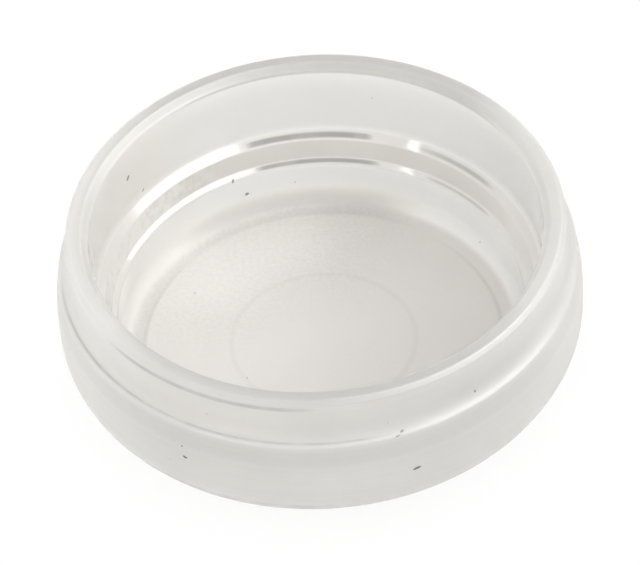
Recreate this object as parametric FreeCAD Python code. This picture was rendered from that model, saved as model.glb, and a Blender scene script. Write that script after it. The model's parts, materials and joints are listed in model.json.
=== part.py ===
"""Castor cup: one clear moulded dish that stands under a furniture castor or foot.

The cup is a solid of revolution. Its origin is the centre of the face that it stands on,
and +Z is its axis, pointing up out of the mouth. All lengths are in millimetres.
"""
import FreeCAD, Part
import math
import os

# Inside, from the floor up: the well, two bevels with a steep land between them, and the mouth
FLOOR_THICKNESS = 1.8
WELL_DIAMETER = 46.7
WELL_DEPTH = 5.7
LOWER_BEVEL_WIDTH = 0.6
LOWER_BEVEL_RISE = 0.65
LAND_WIDTH = 0.6
LAND_RISE = 2.3
UPPER_BEVEL_WIDTH = 1.15
UPPER_BEVEL_RISE = 1.3
MOUTH_DEPTH = 9.35

# Collar around the mouth, with its rim bevelled on both sides, and the wider belt below it
COLLAR_WALL = 2.55
COLLAR_HEIGHT = 5.8
RIM_OUTER_BEVEL_WIDTH = 0.5
RIM_OUTER_BEVEL_DROP = 0.55
RIM_INNER_BEVEL_WIDTH = 0.8
RIM_INNER_BEVEL_DROP = 0.9
COVE_FOOT_RISE = 1.0
BELT_OVERHANG = 1.75
BELT_TOP_INSET = 0.55
BELT_TOP_DROP = 3.3
BELT_FOOT_HEIGHT = 5.7
BASE_INSET = 6.1

# Ring groove in the underside
RING_DIAMETER = 21.4
RING_WIDTH = 1.2
RING_DEPTH = 0.12

# Roundings, each at the corner that it is named after
RIM_TOP_ROUND = 0.35
RIM_SIDE_ROUND = 0.4
COVE_ROUND = 3.0
BELT_TOP_ROUND = 0.5
BELT_CROWN_ROUND = 20.0
BELT_FOOT_ROUND = 6.0
BASE_ROUND = 3.0
UPPER_BEVEL_FILLET = 1.5
UPPER_BEVEL_LIP_ROUND = 0.4
LOWER_BEVEL_FILLET = 0.35
LOWER_BEVEL_LIP_ROUND = 0.8
FLOOR_FILLET = 2.3

# Radii and heights that follow from the sizes above
WELL_RADIUS = WELL_DIAMETER / 2
LAND_FOOT_RADIUS = WELL_RADIUS + LOWER_BEVEL_WIDTH
LAND_TOP_RADIUS = LAND_FOOT_RADIUS + LAND_WIDTH
MOUTH_RADIUS = LAND_TOP_RADIUS + UPPER_BEVEL_WIDTH
COLLAR_RADIUS = MOUTH_RADIUS + COLLAR_WALL
BELT_RADIUS = COLLAR_RADIUS + BELT_OVERHANG
BASE_RADIUS = BELT_RADIUS - BASE_INSET
WELL_TOP_HEIGHT = FLOOR_THICKNESS + WELL_DEPTH
LAND_FOOT_HEIGHT = WELL_TOP_HEIGHT + LOWER_BEVEL_RISE
LAND_TOP_HEIGHT = LAND_FOOT_HEIGHT + LAND_RISE
MOUTH_FOOT_HEIGHT = LAND_TOP_HEIGHT + UPPER_BEVEL_RISE
RIM_HEIGHT = MOUTH_FOOT_HEIGHT + MOUTH_DEPTH
BELT_TOP_HEIGHT = RIM_HEIGHT - COLLAR_HEIGHT

AXIS_POINT = FreeCAD.Vector(0, 0, 0)
AXIS = FreeCAD.Vector(0, 0, 1)


def section_point(radius, height):
    """A point of the half section, which lies in the XZ plane."""
    return FreeCAD.Vector(radius, 0, height)


def fitted_tangents(points, roundings):
    """Length of side that each corner's rounding takes, kept within the sides it meets."""
    tangents = [0.0] * len(points)
    for i in range(1, len(points) - 1):
        turn = (points[i] - points[i - 1]).getAngle(points[i + 1] - points[i])
        tangents[i] = roundings[i] * math.tan(turn / 2)
    for i in range(len(points) - 1):
        side = (points[i + 1] - points[i]).Length
        wanted = tangents[i] + tangents[i + 1]
        if wanted > side:
            tangents[i] *= side / wanted
            tangents[i + 1] *= side / wanted
    return tangents


def rounded_outline(corners):
    """Edges along the corners (radius, height, rounding), with an arc at each rounded one."""
    points = [section_point(radius, height) for radius, height, _ in corners]
    tangents = fitted_tangents(points, [rounding for _, _, rounding in corners])
    edges = []
    start = points[0]
    for before, corner, after, tangent in zip(points, points[1:], points[2:], tangents[1:]):
        inward = (before - corner).normalize()
        onward = (after - corner).normalize()
        arc_start = corner + inward * tangent
        arc_end = corner + onward * tangent
        half_angle = inward.getAngle(onward) / 2
        centre_way = (inward + onward).normalize()
        reach = tangent / math.cos(half_angle) - tangent * math.tan(half_angle)
        arc_middle = corner + centre_way * reach
        edges += straight(start, arc_start)
        edges.append(Part.Arc(arc_start, arc_middle, arc_end).toShape())
        start = arc_end
    return edges + straight(start, points[-1])


def straight(start, end):
    """One straight edge, or none where two arcs meet."""
    if start.distanceToPoint(end) < Part.Precision.confusion():
        return []
    return [Part.LineSegment(start, end).toShape()]


def underside():
    """Edges from the axis out over the ring groove, along the face that the cup stands on."""
    ring_radius = RING_DIAMETER / 2
    inner = section_point(ring_radius - RING_WIDTH / 2, 0)
    deepest = section_point(ring_radius, RING_DEPTH)
    outer = section_point(ring_radius + RING_WIDTH / 2, 0)
    middle = Part.LineSegment(AXIS_POINT, inner).toShape()
    groove = Part.Arc(inner, deepest, outer).toShape()
    return [middle, groove], outer


def cup_outline(start):
    """Edges from a point of the underside, up the outside, over the rim and down to the floor."""
    return rounded_outline([
        (start.x, start.z, 0),
        (BASE_RADIUS, 0, BASE_ROUND),
        (BELT_RADIUS, BELT_FOOT_HEIGHT, BELT_FOOT_ROUND),
        (BELT_RADIUS, BELT_TOP_HEIGHT - BELT_TOP_DROP, BELT_CROWN_ROUND),
        (BELT_RADIUS - BELT_TOP_INSET, BELT_TOP_HEIGHT, BELT_TOP_ROUND),
        (COLLAR_RADIUS, BELT_TOP_HEIGHT + COVE_FOOT_RISE, COVE_ROUND),
        (COLLAR_RADIUS, RIM_HEIGHT - RIM_OUTER_BEVEL_DROP, RIM_SIDE_ROUND),
        (COLLAR_RADIUS - RIM_OUTER_BEVEL_WIDTH, RIM_HEIGHT, RIM_TOP_ROUND),
        (MOUTH_RADIUS + RIM_INNER_BEVEL_WIDTH, RIM_HEIGHT, RIM_TOP_ROUND),
        (MOUTH_RADIUS, RIM_HEIGHT - RIM_INNER_BEVEL_DROP, RIM_SIDE_ROUND),
        (MOUTH_RADIUS, MOUTH_FOOT_HEIGHT, UPPER_BEVEL_FILLET),
        (LAND_TOP_RADIUS, LAND_TOP_HEIGHT, UPPER_BEVEL_LIP_ROUND),
        (LAND_FOOT_RADIUS, LAND_FOOT_HEIGHT, LOWER_BEVEL_FILLET),
        (WELL_RADIUS, WELL_TOP_HEIGHT, LOWER_BEVEL_LIP_ROUND),
        (WELL_RADIUS, FLOOR_THICKNESS, FLOOR_FILLET),
        (0, FLOOR_THICKNESS, 0),
    ])


def castor_cup():
    """The whole cup, turned from its half section."""
    under_edges, base_start = underside()
    axis_edge = Part.LineSegment(section_point(0, FLOOR_THICKNESS), AXIS_POINT).toShape()
    outline = under_edges + cup_outline(base_start) + [axis_edge]
    section = Part.Face(Part.Wire(outline))
    return section.revolve(AXIS_POINT, AXIS, 360)


os.makedirs("parts", exist_ok=True)
castor_cup().exportStep("parts/castor_cup.step")
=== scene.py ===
import json
import math
from collections import namedtuple
from functools import reduce

import bmesh
import bpy
from mathutils import Matrix, Vector, noise

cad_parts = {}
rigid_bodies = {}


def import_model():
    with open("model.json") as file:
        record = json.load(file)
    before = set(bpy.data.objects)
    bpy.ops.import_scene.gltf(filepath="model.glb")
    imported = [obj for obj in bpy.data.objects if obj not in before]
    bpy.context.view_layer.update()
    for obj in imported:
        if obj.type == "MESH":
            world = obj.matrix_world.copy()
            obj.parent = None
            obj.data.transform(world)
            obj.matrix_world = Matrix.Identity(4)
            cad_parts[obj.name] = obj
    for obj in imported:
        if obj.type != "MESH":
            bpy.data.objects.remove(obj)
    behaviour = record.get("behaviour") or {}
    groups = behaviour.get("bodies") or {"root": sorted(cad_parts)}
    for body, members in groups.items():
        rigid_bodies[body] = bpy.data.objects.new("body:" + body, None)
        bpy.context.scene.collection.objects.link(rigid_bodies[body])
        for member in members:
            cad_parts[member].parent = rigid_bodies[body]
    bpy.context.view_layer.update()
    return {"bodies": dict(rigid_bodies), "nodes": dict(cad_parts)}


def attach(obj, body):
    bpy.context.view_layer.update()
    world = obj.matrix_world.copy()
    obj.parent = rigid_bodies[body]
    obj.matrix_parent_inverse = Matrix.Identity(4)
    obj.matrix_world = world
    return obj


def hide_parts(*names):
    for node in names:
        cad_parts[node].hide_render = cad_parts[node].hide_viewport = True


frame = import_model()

# One millimetre in the scene's metres
MM = 0.001

# The photograph's frame and the camera that was found to fit it
PHOTO_WIDTH = 640
PHOTO_HEIGHT = 565
FOCAL_PIXELS = 4438.0
SENSOR_WIDTH = 36.0
CLIP_START = 10 * MM
CAMERA_DISTANCE = 500 * MM
CAMERA_ELEVATION = math.radians(45.12)
CAMERA_ROLL = math.radians(-4.14)
AIM_HEIGHT = 20 * MM
AIM_PIXEL = (315.4, 227.6)

# Fineness of the cup's mesh, and how straight sides of its section are told from arcs
TURN_STEPS = 256
ARC_STEPS = 3
DISC_RINGS = 6
SURELY_STRAIGHT = 5 * MM
LEAST_HALF_ARC = math.radians(0.6)
SEAM_TOLERANCE = 1e-6
SEAM_DIGITS = 7
SHARP_ANGLE = math.radians(35)

# Body of the plastic
IOR = 1.5
CLEAR_SHARE = 0.4
BODY_ROUGHNESS = 0.6
HAZE_DEPTH = 2.5 * MM
PALE_TINT = (0.97, 0.952, 0.92)
DEEP_TINT = (0.25, 0.24, 0.225)

# Glossy skin of the plastic, and its roughness on each part of the cup
SKIN_IOR = 1.65
INSIDE_ROUGHNESS = 0.05
WELL_ROUGHNESS = 0.7
RIM_ROUGHNESS = 0.42
OUTSIDE_ROUGHNESS = 0.42
DULL_SIDE_ROUGHNESS = 0.75

# Grains of the plastic: sizes, and the part of the noise's range that is used
TURNING_SIZE = 0.5 * MM
CLOUD_SIZE = 7 * MM
MOTTLE_SIZE = 0.9 * MM
MOTTLE_DETAIL = 4.0
FINE_SIZE = 0.45 * MM
# Size of the noise that breaks up the painted shade lines
BREAKUP_SIZE = 3 * MM
TURNING_RANGE = (0.3, 0.7)
CLOUD_RANGE = (0.3, 0.7)
MOTTLE_RANGE = (0.35, 0.7)
FINE_RANGE = (0.35, 0.65)
# Range of the noise that breaks up the painted shade lines
BREAKUP_RANGE = (0.3, 0.6)

# Relief of the skin: its depth, and the share that each grain has in it
RELIEF_DEPTH = 0.02 * MM
FLOOR_RELIEF = 0.8
LEDGE_RELIEF = 0.5
TURNING_RELIEF = 0.2

# The relief also sinks the edge between the lower bevel and the ledge, which tilts the bevel a little
SUNK_EDGE_RELIEF = -2.3
SUNK_EDGE_FOOT = 7.5 * MM
SUNK_EDGE_HEIGHT = 8.15 * MM
SUNK_EDGE_TOP = 10.4 * MM

# Heights or radii over which one part of the cup passes into another
INTO_FLOOR = (2.4 * MM, 1.9 * MM)
INTO_WELL = (7.4 * MM, 7.1 * MM)
INTO_RIM = (19.9 * MM, 20.6 * MM)
INTO_INNER_RIM = (19.9 * MM, 20.2 * MM)
INTO_COLLAR = (15.6 * MM, 16.2 * MM)
INSIDE_RADII = (26.3 * MM, 26.0 * MM)
OUTSIDE_RADII = (26.4 * MM, 27.4 * MM)
OFF_FLOOR_RADII = (20.4 * MM, 21.1 * MM)

# Bands of height or radius (millimetres) and arcs around the axis (degrees, 0 to the right, 90 at the
# back), which fade out on both sides
Band = namedtuple("Band", "low high fade")
Arc = namedtuple("Arc", "azimuth half_width fade")
FRONT = Arc(-90, 25, 40)
BACK = Arc(90, 25, 40)
LEFT = Arc(190, 55, 25)
DULL_SIDE = Arc(0, 25, 18)

# Depth of tint, from 0 for the pale tint to 1 for the deep one: ledge between the bevels, with painted
# shade at the back
LEDGE = Band(8.3, 10.3, 0.2)
LEDGE_DEPTH = 0.10
LEDGE_BACK = Arc(80, 35, 30)
LEDGE_BACK_SHADE_DEPTH = 0.17
LEDGE_WORN = Arc(165, 30, 25)
LEDGE_WEAR = (-0.06, 0.12)

# Painted shade on the bevels, left wall and fillet around the floor, darker downwards, painted light at
# its foot
UPPER_BEVEL = Band(10.5, 11.2, 0.3)
LOWER_BEVEL = Band(7.5, 8.1, 0.1)
BEVEL_SHADE_DEPTH = 0.2
LEFT_WALL = Arc(190, 35, 40)
LEFT_WALL_SHADE_DEPTH = 0.11
FILLET_ARC = Arc(98, 15, 32)
FILLET_SHADE_HEIGHTS = (4.4 * MM, 2.4 * MM)
FILLET_SHADE_DEPTH = 0.39
FILLET_LIGHT_HEIGHTS = (2.35 * MM, 1.95 * MM)
FILLET_FOOT_LIGHT_DEPTH = -0.25

# Floor: painted shade at its edge and across it, the ring seen through it, a speckled place of painted
# light at the back
FLOOR_EDGE = Band(20.6, 20.8, 0.25)
FLOOR_EDGE_ARC = Arc(-90, 110, 40)
FLOOR_EDGE_SHADE_DEPTH = 0.12
FLOOR_RING = Band(10.6, 10.8, 0.4)
FLOOR_RING_DEPTH = 0.05
FLOOR_SHADE_SPAN = (-16 * MM, 8 * MM)
FLOOR_SHADE = (0.16, 0.29)
FLOOR_LIGHT_ARC = Arc(120, 15, 30)
FLOOR_LIGHT_RADII = (8 * MM, 16 * MM)
FLOOR_LIGHT_DEPTH = -0.10
SPECKLE_ARC = Arc(120, 30, 50)
SPECKLE_RADII = (3 * MM, 12 * MM)
SPECKLE_DEPTH = 0.07

# Rim: painted shade at the front and back and on its inner bevel at the back, painted light on its outer
# left
RIM_DEPTH = 0.36
RIM_FRONT_AND_BACK_SHADE_DEPTH = 0.22
RIM_LEFT_LIGHT_DEPTH = -0.09
INNER_RIM_ARC = Arc(80, 30, 30)
INNER_RIM_SHADE_DEPTH = 0.55

# Outside: painted shade at the front and back and on a band of the belt, painted light on the collar at
# the left
OUTSIDE_DEPTH = 0.33
OUTSIDE_FRONT_AND_BACK_SHADE_DEPTH = 0.10
BELT_BAND = Band(12.9, 14.6, 0.5)
BELT_BAND_SHADE_DEPTH = 0.05
COLLAR_LEFT_LIGHT_DEPTH = -0.09
TURNING_DEPTH = 0.025

# Clouds all over the cup
CLOUD_DEPTH = 0.02

# Dark lines of painted shade along creases and edges of the cup, broken up here and there by noise
LEAST_BREAKUP = 0.85
ShadeLine = namedtuple("ShadeLine", "side band arc depth")
SHADE_LINES = (
    ShadeLine("inside", Band(10.75, 11.00, 0.30), Arc(90, 15, 4), depth=0.86),
    ShadeLine("inside", Band(10.80, 10.95, 0.30), Arc(46, 4, 14), depth=0.65),
    ShadeLine("inside", Band(10.80, 10.95, 0.30), Arc(10, 35, 25), depth=0.20),
    ShadeLine("inside", Band(7.80, 7.95, 0.25), Arc(88, 15, 5), depth=0.88),
    ShadeLine("inside", Band(7.80, 7.90, 0.20), Arc(43, 8, 8), depth=0.50),
    ShadeLine("outside", Band(15.55, 15.65, 0.18), Arc(-125, 40, 25), depth=0.62),
    ShadeLine("outside", Band(19.85, 20.25, 0.35), Arc(-118, 16, 22), depth=0.66),
    ShadeLine("outside", Band(4.00, 6.00, 0.90), Arc(-140, 40, 25), depth=0.62),
)

# Stage
FLOOR_GAP = 0.05 * MM
FLOOR_SIZE = 6.0
FLOOR_COLOUR = (0.95, 0.95, 0.95, 1)
FLOOR_SHADOW_SHARE = 0.15
WHITE = (1, 1, 1, 1)
ROOM_LIGHT = 1.1
FRONT_LIGHT = 1.7

# Dirt specks: the photograph's pixel, length and width in millimetres, slant in the picture in degrees
Speck = namedtuple("Speck", "pixel length width slant tone")
SPECKS = (
    Speck(pixel=(128, 178), length=0.80, width=0.42, slant=80, tone="mid"),
    Speck(pixel=(143, 190), length=0.50, width=0.14, slant=75, tone="mid"),
    Speck(pixel=(233, 181), length=0.60, width=0.30, slant=85, tone="mid"),
    Speck(pixel=(247, 194), length=0.50, width=0.44, slant=0, tone="mid"),
    Speck(pixel=(185, 457), length=0.62, width=0.28, slant=-15, tone="dark"),
    Speck(pixel=(182, 446), length=0.30, width=0.24, slant=60, tone="mid"),
    Speck(pixel=(417, 468), length=0.95, width=0.30, slant=20, tone="dark"),
    Speck(pixel=(402, 431), length=0.45, width=0.32, slant=40, tone="mid"),
    Speck(pixel=(398, 436), length=0.55, width=0.14, slant=25, tone="mid"),
    Speck(pixel=(388, 423), length=0.26, width=0.20, slant=0, tone="faint"),
    Speck(pixel=(475, 391), length=0.36, width=0.30, slant=0, tone="mid"),
    Speck(pixel=(207, 414), length=0.24, width=0.16, slant=45, tone="faint"),
    Speck(pixel=(480, 242), length=0.28, width=0.18, slant=0, tone="faint"),
    Speck(pixel=(195, 293), length=0.24, width=0.16, slant=0, tone="faint"),
    Speck(pixel=(247, 378), length=0.24, width=0.16, slant=0, tone="faint"),
    Speck(pixel=(170, 459), length=0.24, width=0.16, slant=0, tone="faint"),
    Speck(pixel=(372, 98), length=0.24, width=0.16, slant=0, tone="faint"),
    Speck(pixel=(295, 182), length=0.24, width=0.16, slant=0, tone="faint"),
)
# Darkest and lightest colour of each tone of dirt
SPECK_TONES = {
    "dark": ((0.08, 0.074, 0.066), (0.18, 0.168, 0.15)),
    "mid": ((0.28, 0.265, 0.24), (0.44, 0.42, 0.385)),
    "faint": ((0.52, 0.50, 0.465), (0.66, 0.64, 0.60)),
}
SPECK_THICKNESS = 0.05 * MM
SPECK_LUMPS = 0.35
SPECK_LUMP_RATE = 1.5
SPECK_GRAIN_SIZE = 0.15 * MM
SPECK_ROUGHNESS = 0.8


def cad_section(node):
    """The cup's half section as (radius, height) points, from the base's flat to the floor's flat.

    The seam of the turned CAD solid lies in the XZ plane, so its mesh edges there are the section.
    """
    mesh = node.data
    corner_of = {}
    for vertex in mesh.vertices:
        x, y, z = vertex.co
        if abs(y) < SEAM_TOLERANCE and x > SEAM_TOLERANCE:
            corner_of[vertex.index] = (round(x, SEAM_DIGITS), round(z, SEAM_DIGITS))
    beside = {}
    for edge in mesh.edges:
        first, second = (corner_of.get(i) for i in edge.vertices)
        if first and second and first != second:
            beside.setdefault(first, set()).add(second)
            beside.setdefault(second, set()).add(first)
    ends = [point for point, others in beside.items() if len(others) == 1]
    section = [min(ends, key=lambda point: point[1])]
    while True:
        onward = [point for point in beside[section[-1]] if point not in section[-2:]]
        if not onward:
            return section
        section.append(onward[0])


def finer_arcs(section):
    """The section with each chord that the CAD mesh draws along an arc bent back onto the arc.

    From the base's outer flat on, the outline turns without corners, so the turn where two sides meet
    is half the arc of the one and half the arc of the other. Walking on from that flat, which has no
    arc, gives them all.
    """
    corners = [Vector(point) for point in section]
    sides = [end - start for start, end in zip(corners, corners[1:])]
    first = next(i for i, side in enumerate(sides) if side.length > SURELY_STRAIGHT)
    points = section[:first + 2]
    half_arc = 0.0
    for start, before, side in zip(corners[first + 1:], sides[first:], sides[first + 1:]):
        half_arc = math.atan2(before.cross(side), before.dot(side)) - half_arc
        if abs(half_arc) < LEAST_HALF_ARC:
            half_arc = 0.0
            points.append(tuple(start + side))
            continue
        for step in range(1, ARC_STEPS + 1):
            part = half_arc * step / ARC_STEPS
            turned = Matrix.Rotation(part - half_arc, 2) @ side
            points.append(tuple(start + turned * math.sin(part) / math.sin(half_arc)))
    return points


def disc_rings(edge_point):
    """Points inside the flat disc that a section ends on, from near the axis outwards."""
    radius, height = edge_point
    return [(radius * step / DISC_RINGS, height) for step in range(1, DISC_RINGS)]


def turned_mesh(name, section):
    """A mesh turned from the half section, closed by a flat disc at each end."""
    outline = disc_rings(section[0]) + section + disc_rings(section[-1])[::-1]
    build = bmesh.new()
    angles = [math.tau * step / TURN_STEPS for step in range(TURN_STEPS)]
    rings = [
        [build.verts.new((r * math.cos(a), r * math.sin(a), z)) for a in angles]
        for r, z in outline
    ]
    for lower, upper in zip(rings, rings[1:]):
        for i in range(TURN_STEPS):
            j = (i + 1) % TURN_STEPS
            build.faces.new((lower[i], lower[j], upper[j], upper[i]))
    below = build.verts.new((0, 0, section[0][1]))
    above = build.verts.new((0, 0, section[-1][1]))
    for i in range(TURN_STEPS):
        j = (i + 1) % TURN_STEPS
        build.faces.new((below, rings[0][j], rings[0][i]))
        build.faces.new((above, rings[-1][i], rings[-1][j]))
    mesh = finished_mesh(name, build)
    mesh.set_sharp_from_angle(angle=SHARP_ANGLE)
    return mesh


def finished_mesh(name, build):
    """A smooth-shaded mesh of what was built."""
    mesh = bpy.data.meshes.new(name)
    build.to_mesh(mesh)
    build.free()
    mesh.shade_smooth()
    return mesh


def add_object(name, data):
    """A new object of that data in the scene."""
    made = bpy.data.objects.new(name, data)
    bpy.context.scene.collection.objects.link(made)
    return made


def new_material(name):
    """An empty node material, with its output node."""
    material = bpy.data.materials.new(name)
    material.use_nodes = True
    material.node_tree.nodes.clear()
    output = material.node_tree.nodes.new("ShaderNodeOutputMaterial")
    return material, material.node_tree, output


def joined(tree, operation, first, second):
    """Output of a maths node on two values, each a number or another node's output."""
    made = tree.nodes.new("ShaderNodeMath")
    made.operation = operation
    for socket, value in zip(made.inputs, (first, second)):
        if isinstance(value, (int, float)):
            socket.default_value = value
        else:
            tree.links.new(value, socket)
    return made.outputs["Value"]


def product(tree, *factors):
    """Output of maths nodes that multiply all the factors."""
    return reduce(lambda first, second: joined(tree, "MULTIPLY", first, second), factors)


def total(tree, *terms):
    """Output of maths nodes that add all the terms."""
    return reduce(lambda first, second: joined(tree, "ADD", first, second), terms)


def largest(tree, *values):
    """Output of maths nodes that take the largest of the values."""
    return reduce(lambda first, second: joined(tree, "MAXIMUM", first, second), values)


def ramp(tree, value, start, end, to_start=0.0, to_end=1.0, interpolation="LINEAR"):
    """A change from one level to another while the value goes from start to end."""
    made = tree.nodes.new("ShaderNodeMapRange")
    made.interpolation_type = interpolation
    made.inputs["From Min"].default_value = start
    made.inputs["From Max"].default_value = end
    made.inputs["To Min"].default_value = to_start
    made.inputs["To Max"].default_value = to_end
    tree.links.new(value, made.inputs["Value"])
    return made.outputs["Result"]


def eased(tree, value, start, end, to_start=0.0, to_end=1.0):
    """A change from one level to another that starts and ends smoothly."""
    return ramp(tree, value, start, end, to_start, to_end, "SMOOTHSTEP")


def between(tree, value, low, high, fade):
    """1 where the value is from low to high, going to 0 over the fade on both sides."""
    rise = eased(tree, value, low - fade, low)
    fall = eased(tree, value, high + fade, high)
    return product(tree, rise, fall)


def on_band(tree, value, band):
    """1 where a height or radius lies in the band, fading to 0 on both sides."""
    return between(tree, value, band.low * MM, band.high * MM, band.fade * MM)


def mixed_tint(tree, factor, first, second):
    """Output of a node that mixes two colours."""
    made = tree.nodes.new("ShaderNodeMix")
    made.data_type = "RGBA"
    made.inputs["A"].default_value = (*first, 1)
    made.inputs["B"].default_value = (*second, 1)
    tree.links.new(factor, made.inputs["Factor"])
    return made.outputs["Result"]


def grain(tree, place, size, detail=2.0):
    """Noise from 0 to 1 with grains of that size."""
    made = tree.nodes.new("ShaderNodeTexNoise")
    made.inputs["Scale"].default_value = 1 / size
    made.inputs["Detail"].default_value = detail
    tree.links.new(place, made.inputs["Vector"])
    return made.outputs["Fac"]


Surface = namedtuple(
    "Surface", "place across height radius outward inside outside on_floor on_ledge on_rim"
)


def cup_surface(tree):
    """The shaded point's place on the cup, and masks of the cup's parts."""
    nodes, links = tree.nodes, tree.links
    place = nodes.new("ShaderNodeTexCoord").outputs["Object"]
    split = nodes.new("ShaderNodeSeparateXYZ")
    links.new(place, split.inputs["Vector"])
    flat = nodes.new("ShaderNodeVectorMath")
    flat.operation = "MULTIPLY"
    flat.inputs[1].default_value = (1, 1, 0)
    links.new(place, flat.inputs[0])
    reach = nodes.new("ShaderNodeVectorMath")
    reach.operation = "LENGTH"
    links.new(flat.outputs["Vector"], reach.inputs[0])
    outward = nodes.new("ShaderNodeVectorMath")
    outward.operation = "NORMALIZE"
    links.new(flat.outputs["Vector"], outward.inputs[0])
    height, radius = split.outputs["Z"], reach.outputs["Value"]
    inside = eased(tree, radius, *INSIDE_RADII)
    return Surface(
        place=place,
        across=split.outputs["X"],
        height=height,
        radius=radius,
        outward=outward.outputs["Vector"],
        inside=inside,
        outside=eased(tree, radius, *OUTSIDE_RADII),
        on_floor=product(tree, inside, eased(tree, height, *INTO_FLOOR)),
        on_ledge=on_band(tree, height, LEDGE),
        on_rim=eased(tree, height, *INTO_RIM),
    )


def on_arc(tree, surface, arc):
    """1 along an arc around the axis, fading to 0 at its ends."""
    facing = tree.nodes.new("ShaderNodeVectorMath")
    facing.operation = "DOT_PRODUCT"
    around = math.radians(arc.azimuth)
    facing.inputs[1].default_value = (math.cos(around), math.sin(around), 0)
    tree.links.new(surface.outward, facing.inputs[0])
    fade_start = math.cos(math.radians(arc.half_width + arc.fade))
    fade_end = math.cos(math.radians(arc.half_width))
    return eased(tree, facing.outputs["Value"], fade_start, fade_end)


def turning_lines(tree, surface):
    """Noise that runs in rings around the axis, as a turned mould leaves it."""
    rings = tree.nodes.new("ShaderNodeCombineXYZ")
    tree.links.new(surface.radius, rings.inputs["X"])
    tree.links.new(surface.height, rings.inputs["Y"])
    return grain(tree, rings.outputs["Vector"], TURNING_SIZE)


Grains = namedtuple("Grains", "turning clouds mottle fine wear")


def plastic_grains(tree, surface):
    """The noises that the plastic's tint and relief are made from."""
    wear = grain(tree, surface.place, BREAKUP_SIZE)
    return Grains(
        turning=turning_lines(tree, surface),
        clouds=grain(tree, surface.place, CLOUD_SIZE),
        mottle=grain(tree, surface.place, MOTTLE_SIZE, MOTTLE_DETAIL),
        fine=grain(tree, surface.place, FINE_SIZE),
        wear=eased(tree, wear, *BREAKUP_RANGE, LEAST_BREAKUP, 1.0),
    )


def shade_line_depth(tree, surface, grains, line):
    """Depth of tint of one dark line of painted shade."""
    side = surface.inside if line.side == "inside" else surface.outside
    band = on_band(tree, surface.height, line.band)
    return product(tree, side, band, on_arc(tree, surface, line.arc), grains.wear, line.depth)


def inside_depth(tree, surface, grains):
    """Depth of tint of the ledge, and the painted shade and light on the bevels, left wall and fillet
    around the floor.
    """
    ledge = total(
        tree,
        LEDGE_DEPTH,
        product(tree, on_arc(tree, surface, LEDGE_BACK), LEDGE_BACK_SHADE_DEPTH),
        product(
            tree,
            on_arc(tree, surface, LEDGE_WORN),
            eased(tree, grains.mottle, *MOTTLE_RANGE, *LEDGE_WEAR),
        ),
    )
    bevels = [on_band(tree, surface.height, bevel) for bevel in (UPPER_BEVEL, LOWER_BEVEL)]
    off_floor = eased(tree, surface.radius, *OFF_FLOOR_RADII)
    fillet = total(
        tree,
        eased(tree, surface.height, *FILLET_SHADE_HEIGHTS, 0.0, FILLET_SHADE_DEPTH),
        eased(tree, surface.height, *FILLET_LIGHT_HEIGHTS, 0.0, FILLET_FOOT_LIGHT_DEPTH),
    )
    deepest = largest(
        tree,
        product(tree, surface.on_ledge, ledge),
        product(tree, largest(tree, *bevels), BEVEL_SHADE_DEPTH),
        product(tree, off_floor, on_arc(tree, surface, FILLET_ARC), fillet),
        product(tree, off_floor, on_arc(tree, surface, LEFT_WALL), LEFT_WALL_SHADE_DEPTH),
    )
    return product(tree, surface.inside, deepest)


def floor_depth(tree, surface, grains):
    """Depth of tint of the floor, with painted shade at its edge and across it, and painted light at the
    back.
    """
    radius = surface.radius
    edge = product(
        tree,
        on_band(tree, radius, FLOOR_EDGE),
        on_arc(tree, surface, FLOOR_EDGE_ARC),
        FLOOR_EDGE_SHADE_DEPTH,
    )
    ring = product(tree, on_band(tree, radius, FLOOR_RING), FLOOR_RING_DEPTH)
    shade = eased(tree, surface.across, *FLOOR_SHADE_SPAN, *FLOOR_SHADE)
    glow = product(
        tree, eased(tree, radius, *FLOOR_LIGHT_RADII), on_arc(tree, surface, FLOOR_LIGHT_ARC), FLOOR_LIGHT_DEPTH
    )
    speckle = product(
        tree,
        eased(tree, radius, *SPECKLE_RADII),
        on_arc(tree, surface, SPECKLE_ARC),
        eased(tree, grains.fine, *FINE_RANGE, 0.0, SPECKLE_DEPTH),
    )
    return product(tree, surface.on_floor, total(tree, edge, ring, shade, glow, speckle))


def rim_depth(tree, surface, front_and_back_shade, left):
    """Depth of tint of the rim, with painted shade that is the deepest on its inner bevel at the back."""
    depth = total(
        tree,
        RIM_DEPTH,
        product(tree, front_and_back_shade, RIM_FRONT_AND_BACK_SHADE_DEPTH),
        product(tree, left, surface.outside, RIM_LEFT_LIGHT_DEPTH),
    )
    inner_bevel_shade = product(
        tree,
        eased(tree, surface.height, *INTO_INNER_RIM),
        on_arc(tree, surface, INNER_RIM_ARC),
        INNER_RIM_SHADE_DEPTH,
    )
    return largest(tree, product(tree, surface.on_rim, depth), inner_bevel_shade)


def outside_depth(tree, surface, grains, front_and_back_shade, left):
    """Depth of tint of the collar and the belt, with painted shade and painted light in it."""
    collar = eased(tree, surface.height, *INTO_COLLAR)
    depth = total(
        tree,
        OUTSIDE_DEPTH,
        product(tree, front_and_back_shade, OUTSIDE_FRONT_AND_BACK_SHADE_DEPTH),
        product(tree, on_band(tree, surface.height, BELT_BAND), BELT_BAND_SHADE_DEPTH),
        product(tree, collar, left, COLLAR_LEFT_LIGHT_DEPTH),
        eased(tree, grains.turning, *TURNING_RANGE, 0.0, TURNING_DEPTH),
    )
    return product(tree, surface.outside, depth)


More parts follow.
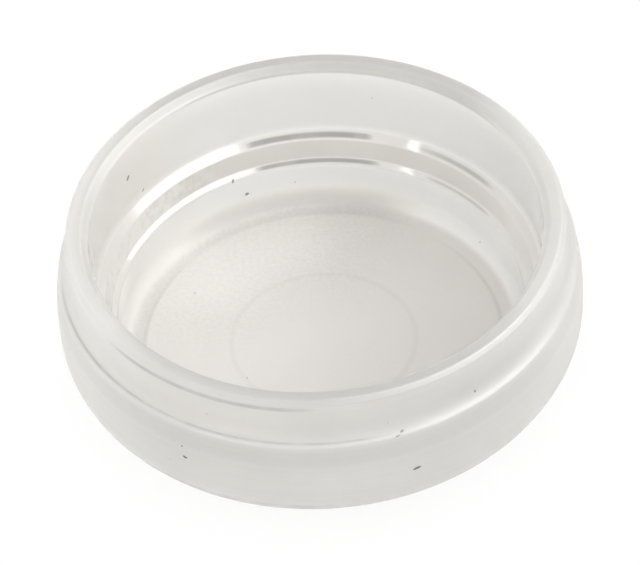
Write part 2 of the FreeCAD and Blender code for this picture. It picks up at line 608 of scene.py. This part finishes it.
def tint_depth(tree, surface, grains):
    """How far the plastic goes from its pale to its deep tint, painted shade and painted light included.
    """
    # Arcs of painted shade at the front and back, and of painted light at the left
    front_and_back_shade = largest(tree, on_arc(tree, surface, BACK), on_arc(tree, surface, FRONT))
    left = on_arc(tree, surface, LEFT)
    deepest = largest(
        tree,
        inside_depth(tree, surface, grains),
        outside_depth(tree, surface, grains, front_and_back_shade, left),
        rim_depth(tree, surface, front_and_back_shade, left),
        *[shade_line_depth(tree, surface, grains, line) for line in SHADE_LINES],
    )
    clouds = eased(tree, grains.clouds, *CLOUD_RANGE, 0.0, CLOUD_DEPTH)
    return total(tree, deepest, floor_depth(tree, surface, grains), clouds)


def skin_roughness(tree, surface):
    """Roughness of the glossy skin."""
    in_well = product(tree, surface.inside, eased(tree, surface.height, *INTO_WELL))
    dull_side = product(tree, surface.outside, on_arc(tree, surface, DULL_SIDE))
    return largest(
        tree,
        eased(tree, surface.outside, 0, 1, INSIDE_ROUGHNESS, OUTSIDE_ROUGHNESS),
        product(tree, in_well, WELL_ROUGHNESS),
        product(tree, surface.on_rim, RIM_ROUGHNESS),
        product(tree, dull_side, DULL_SIDE_ROUGHNESS),
    )


def skin_normal(tree, surface, grains):
    """Normal of the skin with its relief."""
    sunk_edge = joined(
        tree,
        "MINIMUM",
        ramp(tree, surface.height, SUNK_EDGE_FOOT, SUNK_EDGE_HEIGHT),
        ramp(tree, surface.height, SUNK_EDGE_TOP, SUNK_EDGE_HEIGHT),
    )
    relief = total(
        tree,
        product(tree, grains.fine, surface.on_floor, FLOOR_RELIEF),
        product(tree, grains.mottle, surface.inside, surface.on_ledge, LEDGE_RELIEF),
        product(tree, grains.turning, surface.outside, TURNING_RELIEF),
        product(tree, sunk_edge, surface.inside, SUNK_EDGE_RELIEF),
    )
    bump = tree.nodes.new("ShaderNodeBump")
    bump.inputs["Strength"].default_value = 1.0
    bump.inputs["Distance"].default_value = RELIEF_DEPTH
    tree.links.new(relief, bump.inputs["Height"])
    return bump.outputs["Normal"]


def clear_plastic():
    """Hazy clear plastic: a body that blurs what is behind it, under a glossy skin."""
    material, tree, output = new_material("clear_plastic")
    surface = cup_surface(tree)
    grains = plastic_grains(tree, surface)
    tint = mixed_tint(tree, tint_depth(tree, surface, grains), PALE_TINT, DEEP_TINT)
    normal = skin_normal(tree, surface, grains)

    shader = tree.nodes.new("ShaderNodeBsdfPrincipled")
    shader.inputs["IOR"].default_value = IOR
    shader.inputs["Transmission Weight"].default_value = CLEAR_SHARE
    shader.inputs["Roughness"].default_value = BODY_ROUGHNESS
    shader.inputs["Subsurface Weight"].default_value = 1.0
    shader.inputs["Subsurface Radius"].default_value = (1.0, 1.0, 1.0)
    shader.inputs["Subsurface Scale"].default_value = HAZE_DEPTH
    shader.inputs["Coat Weight"].default_value = 1.0
    shader.inputs["Coat IOR"].default_value = SKIN_IOR
    tree.links.new(tint, shader.inputs["Base Color"])
    tree.links.new(skin_roughness(tree, surface), shader.inputs["Coat Roughness"])
    tree.links.new(normal, shader.inputs["Normal"])
    tree.links.new(normal, shader.inputs["Coat Normal"])
    tree.links.new(shader.outputs["BSDF"], output.inputs["Surface"])
    return material


def cup():
    """The cup, turned finely from the CAD section and standing for the CAD node."""
    node = frame["nodes"]["castor_cup"]
    made = add_object("clear_cup", turned_mesh("clear_cup", finer_arcs(cad_section(node))))
    even_normals = made.modifiers.new("Even normals", "WEIGHTED_NORMAL")
    even_normals.keep_sharp = True
    made.data.materials.append(clear_plastic())
    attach(made, "root")
    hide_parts("castor_cup")
    return made


def speck_dirt(tone, darkest, lightest):
    """Dull dirt of uneven colour."""
    material, tree, output = new_material(f"{tone}_dirt")
    place = tree.nodes.new("ShaderNodeTexCoord").outputs["Object"]
    tint = mixed_tint(tree, grain(tree, place, SPECK_GRAIN_SIZE), darkest, lightest)
    shader = tree.nodes.new("ShaderNodeBsdfPrincipled")
    shader.inputs["Roughness"].default_value = SPECK_ROUGHNESS
    tree.links.new(tint, shader.inputs["Base Color"])
    tree.links.new(shader.outputs["BSDF"], output.inputs["Surface"])
    return material


def speck_seat(speck, cup_piece, camera):
    """The place where the speck's pixel meets the cup, and the matrix that lays a unit ball flat there."""
    right, up, backward = (camera.matrix_world.col[i].to_3d() for i in range(3))
    eye = camera.matrix_world.translation
    across = (speck.pixel[0] - PHOTO_WIDTH / 2) / FOCAL_PIXELS
    down = (speck.pixel[1] - PHOTO_HEIGHT / 2) / FOCAL_PIXELS
    _, place, normal, _ = cup_piece.ray_cast(eye, across * right - down * up - backward)
    slant = math.radians(speck.slant)
    picture_way = math.cos(slant) * right + math.sin(slant) * up
    lengthwise = (picture_way - picture_way.dot(normal) * normal).normalized()
    axes = (
        lengthwise * speck.length / 2 * MM,
        normal.cross(lengthwise) * speck.width / 2 * MM,
        normal * SPECK_THICKNESS,
    )
    return place, Matrix.Translation(place) @ Matrix(axes).transposed().to_4x4()


def dirt_specks(cup_piece, camera):
    """Small flat lumps of dirt on the cup, each where the photograph's pixel meets the surface."""
    build = bmesh.new()
    for speck in SPECKS:
        place, seat = speck_seat(speck, cup_piece, camera)
        lump = bmesh.ops.create_icosphere(build, subdivisions=2, radius=1)
        for vertex in lump["verts"]:
            bulge = 1 + SPECK_LUMPS * noise.noise(vertex.co * SPECK_LUMP_RATE + place / MM)
            vertex.co = seat @ (vertex.co * bulge)
            for face in vertex.link_faces:
                face.material_index = list(SPECK_TONES).index(speck.tone)
    made = add_object("dirt_specks", finished_mesh("dirt_specks", build))
    for tone, colours in SPECK_TONES.items():
        made.data.materials.append(speck_dirt(tone, *colours))
    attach(made, "root")


def seen_rays(tree, share):
    """A factor of that share on the rays that look at the background, and 0 on the rest."""
    path = tree.nodes.new("ShaderNodeLightPath")
    names = ("Is Camera Ray", "Is Glossy Ray", "Is Transmission Ray")
    return product(tree, largest(tree, *[path.outputs[name] for name in names]), share)


def stage_floor():
    """A pale floor that is white to the eye and still takes the cup's shadow."""
    build = bmesh.new()
    bmesh.ops.create_grid(build, x_segments=1, y_segments=1, size=FLOOR_SIZE / 2)
    made = add_object("stage_floor", finished_mesh("stage_floor", build))
    made.location.z = -FLOOR_GAP
    material, tree, output = new_material("stage_white")
    nodes, links = tree.nodes, tree.links
    paint = nodes.new("ShaderNodeBsdfDiffuse")
    paint.inputs["Color"].default_value = FLOOR_COLOUR
    glow = nodes.new("ShaderNodeEmission")
    mix = nodes.new("ShaderNodeMixShader")
    links.new(seen_rays(tree, 1 - FLOOR_SHADOW_SHARE), mix.inputs["Fac"])
    links.new(paint.outputs["BSDF"], mix.inputs[1])
    links.new(glow.outputs["Emission"], mix.inputs[2])
    links.new(mix.outputs["Shader"], output.inputs["Surface"])
    made.data.materials.append(material)


def studio_world():
    """A plain studio: white to the camera, with soft light from all sides, the most from the front."""
    world = bpy.data.worlds.new("studio")
    world.use_nodes = True
    bpy.context.scene.world = world
    tree = world.node_tree
    tree.nodes.clear()
    nodes, links = tree.nodes, tree.links
    output = nodes.new("ShaderNodeOutputWorld")
    room = nodes.new("ShaderNodeBackground")
    room.inputs["Color"].default_value = WHITE
    direction = nodes.new("ShaderNodeTexCoord")
    split = nodes.new("ShaderNodeSeparateXYZ")
    links.new(direction.outputs["Generated"], split.inputs["Vector"])
    light = eased(tree, split.outputs["Y"], 0, -1, ROOM_LIGHT, FRONT_LIGHT)
    links.new(light, room.inputs["Strength"])
    white = nodes.new("ShaderNodeBackground")
    white.inputs["Color"].default_value = WHITE
    path = nodes.new("ShaderNodeLightPath")
    mix = nodes.new("ShaderNodeMixShader")
    links.new(path.outputs["Is Camera Ray"], mix.inputs["Fac"])
    links.new(room.outputs["Background"], mix.inputs[1])
    links.new(white.outputs["Background"], mix.inputs[2])
    links.new(mix.outputs["Shader"], output.inputs["Surface"])


def softbox(name, azimuth, elevation, distance, width, height, radiance, fade, roll=0.0):
    """A rectangular lamp with faded edges, facing the cup from that direction (degrees).

    It shows in the glossy skin only: the room's even light does the shading.
    """
    lamp = bpy.data.lights.new(name, "AREA")
    lamp.shape = "RECTANGLE"
    lamp.size = width
    lamp.size_y = height
    lamp.energy = radiance * math.pi * width * height
    lamp.use_nodes = True
    tree = lamp.node_tree
    split = tree.nodes.new("ShaderNodeSeparateXYZ")
    spot = tree.nodes.new("ShaderNodeNewGeometry")
    tree.links.new(spot.outputs["Parametric"], split.inputs["Vector"])
    glow = product(
        tree,
        between(tree, split.outputs["X"], fade[0], 1 - fade[0], fade[0]),
        between(tree, split.outputs["Y"], fade[1], 1 - fade[1], fade[1]),
    )
    tree.links.new(glow, tree.nodes["Emission"].inputs["Strength"])
    made = add_object(name, lamp)
    made.visible_diffuse = False
    around, up = math.radians(azimuth), math.radians(elevation)
    towards = Vector((math.cos(up) * math.cos(around), math.cos(up) * math.sin(around), math.sin(up)))
    facing = towards.to_track_quat("Z", "Y").to_matrix().to_4x4()
    made.matrix_world = (
        Matrix.Translation(towards * distance) @ facing @ Matrix.Rotation(math.radians(roll), 4, "Z")
    )


def photo_camera():
    """The camera at the photograph's viewing angle, framed as the photograph is."""
    lens = bpy.data.cameras.new("photo_camera")
    lens.sensor_fit = "HORIZONTAL"
    lens.sensor_width = SENSOR_WIDTH
    lens.lens = FOCAL_PIXELS / PHOTO_WIDTH * SENSOR_WIDTH
    lens.clip_start = CLIP_START
    made = add_object("photo_camera", lens)
    backward = Vector((0, -math.cos(CAMERA_ELEVATION), math.sin(CAMERA_ELEVATION)))
    level_up = Vector((0, math.sin(CAMERA_ELEVATION), math.cos(CAMERA_ELEVATION)))
    level_right = Vector((1, 0, 0))
    right = math.cos(CAMERA_ROLL) * level_right + math.sin(CAMERA_ROLL) * level_up
    up = math.cos(CAMERA_ROLL) * level_up - math.sin(CAMERA_ROLL) * level_right
    pixel = CAMERA_DISTANCE / FOCAL_PIXELS
    place = Vector((0, 0, AIM_HEIGHT)) + CAMERA_DISTANCE * backward
    place -= (AIM_PIXEL[0] - PHOTO_WIDTH / 2) * pixel * right
    place += (AIM_PIXEL[1] - PHOTO_HEIGHT / 2) * pixel * up
    turn = Matrix((right, up, backward)).transposed().to_4x4()
    made.matrix_world = Matrix.Translation(place) @ turn
    bpy.context.scene.camera = made
    return made


def clear_start_scene():
    """Removes what a new Blender file starts with."""
    kept = set(frame["nodes"].values()) | set(frame["bodies"].values())
    for found in list(bpy.data.objects):
        if found not in kept:
            bpy.data.objects.remove(found)


clear_start_scene()
cup_piece = cup()
stage_floor()
studio_world()
softbox(
    "key_softbox", azimuth=-7.4, elevation=47.2, distance=0.8, width=1.17, height=0.66, radiance=5.5,
    fade=(0.10, 0.03), roll=-15.1,
)
softbox(
    "small_light", azimuth=-144, elevation=36, distance=0.8, width=0.12, height=0.40, radiance=6.5,
    fade=(0.5, 0.4),
)
camera = photo_camera()
bpy.context.view_layer.update()
dirt_specks(cup_piece, camera)
bpy.context.scene.view_settings.view_transform = "Standard"
